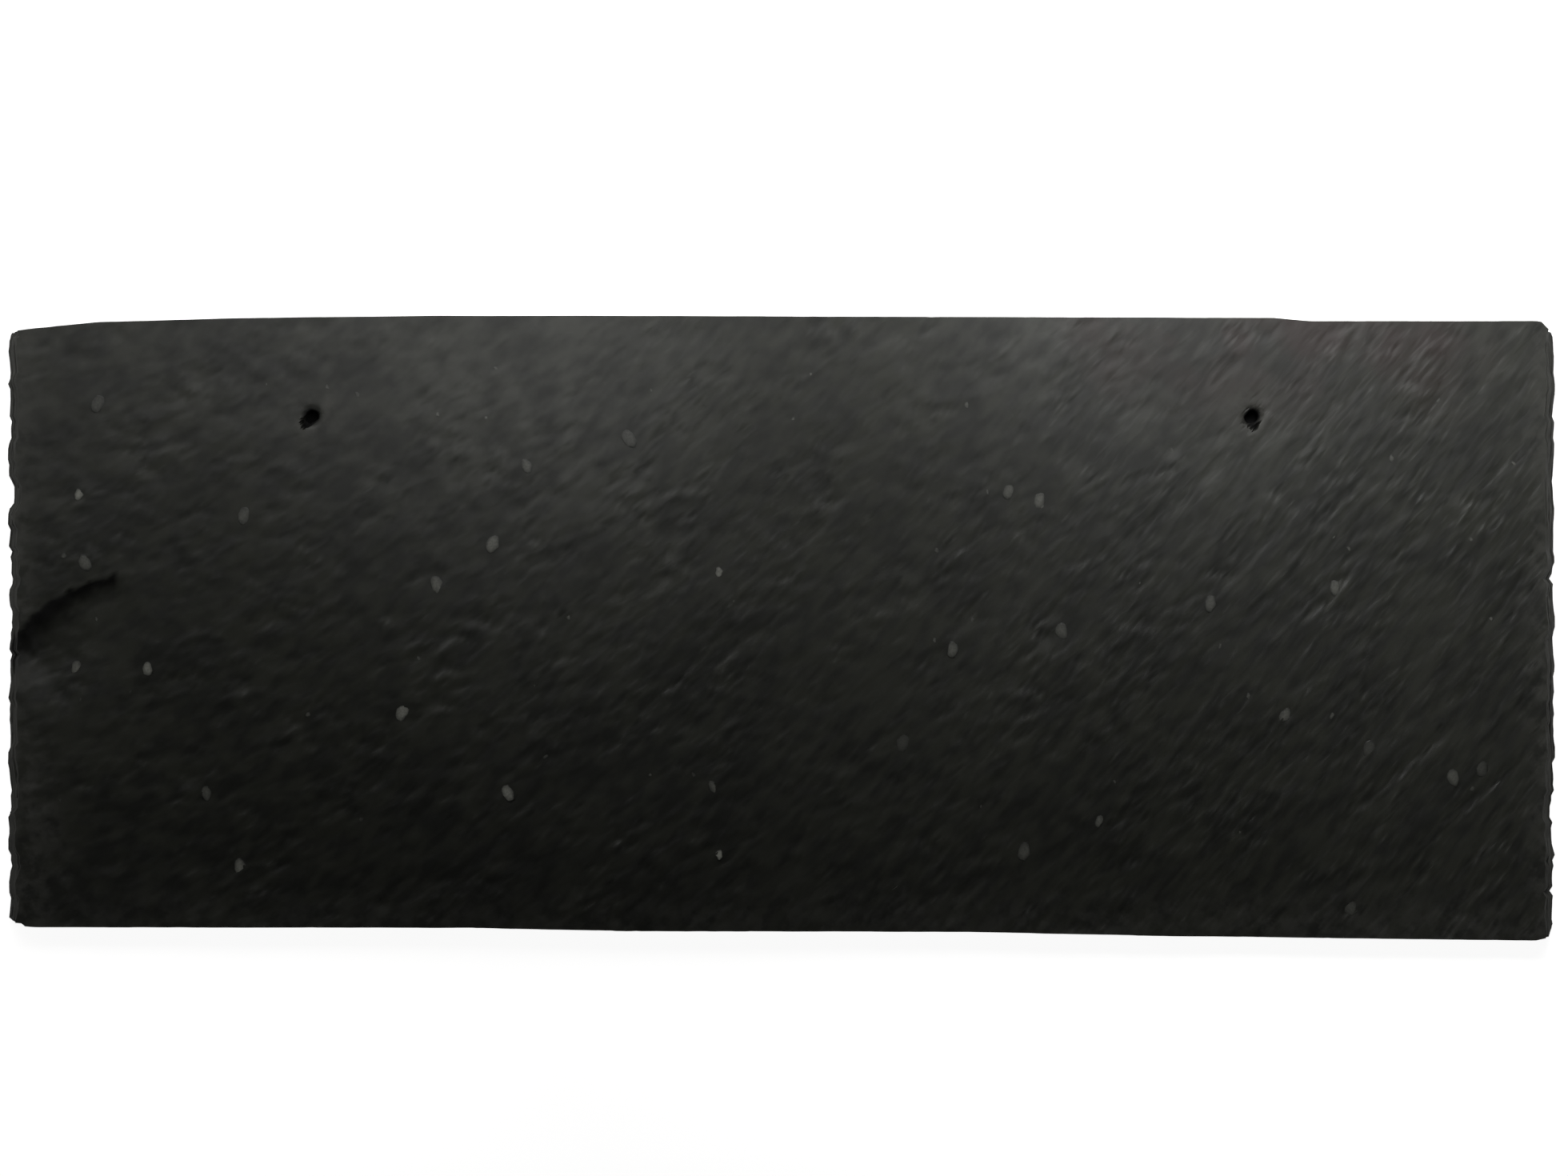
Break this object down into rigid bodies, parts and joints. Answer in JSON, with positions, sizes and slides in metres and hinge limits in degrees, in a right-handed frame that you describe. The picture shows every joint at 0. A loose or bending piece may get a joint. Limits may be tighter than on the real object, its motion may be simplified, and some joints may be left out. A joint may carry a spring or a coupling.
{
  "type": "slate roof tile",
  "caption": "Rectangular natural slate roof tile with a riven weather face, knife-dressed ends and punched nail holes near its head edge.",
  "frame": {"origin": "middle of the slate's outline, on its bed face, which lies on the floor", "axes": "+Z out of the weather face, +Y towards the head edge with the nail holes, +X along the slate's length"},
  "size_m": [0.5, 0.201, 0.007],
  "materials": {
    "slate": "riven"
  },
  "bodies": {
    "root": {"slate": "slate"}
  },
  "joints": []
}
